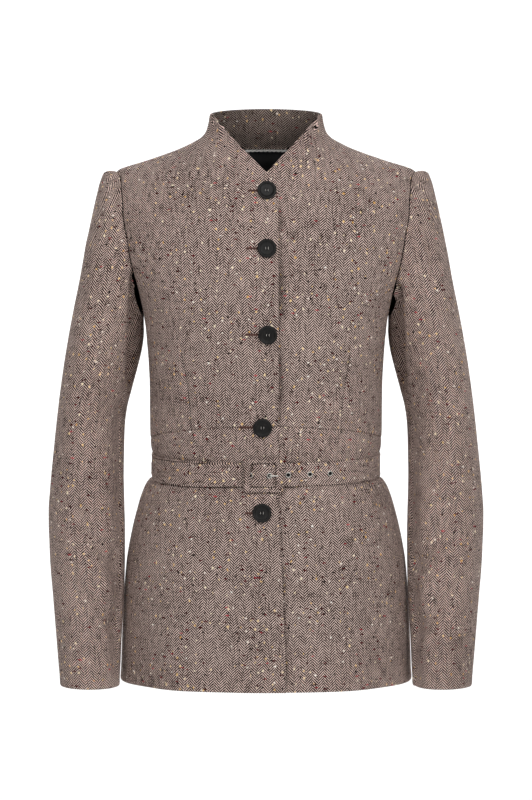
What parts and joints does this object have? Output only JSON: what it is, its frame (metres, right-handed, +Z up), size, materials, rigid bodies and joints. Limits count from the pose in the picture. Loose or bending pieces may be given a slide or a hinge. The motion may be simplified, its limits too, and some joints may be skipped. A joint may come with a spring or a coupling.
{
  "type": "belted jacket",
  "caption": "Fitted hip-length tweed jacket with a V-open funnel collar, buttoned front, waist seam, long two-piece sleeves and a belt of its own cloth with a covered buckle.",
  "frame": {"origin": "on the centre line between the shoulders, level with the sides of the neck, where a wearer's shoulders carry the jacket", "axes": "+Z up, +X towards the wearer's left, the front faces -Y"},
  "size_m": [0.523, 0.2672, 0.6861],
  "materials": {
    "tweed": "herringbone wool tweed with coloured flecks",
    "lining": "black satin lining",
    "trim_cord": "pale twisted edging",
    "button_horn": "dark horn look, satin",
    "nickel": "polished"
  },
  "bodies": {
    "root": {"front_bodice_right": "tweed", "front_bodice_left": "tweed", "back_bodice": "tweed", "front_skirt_right": "tweed", "front_skirt_left": "tweed", "back_skirt": "tweed", "sleeve_upper_right": "tweed", "sleeve_under_right": "tweed", "sleeve_upper_left": "tweed", "sleeve_under_left": "tweed", "neck_facing": "tweed", "neck_trim": "trim_cord", "back_lining": "lining", "belt": "tweed", "buckle": "tweed", "buckle_prong": "nickel", "eyelet_1": "nickel", "eyelet_2": "nickel", "eyelet_3": "nickel", "eyelet_4": "nickel", "eyelet_5": "nickel", "button_1": "button_horn", "button_2": "button_horn", "button_3": "button_horn", "button_4": "button_horn", "button_5": "button_horn"}
  },
  "joints": []
}
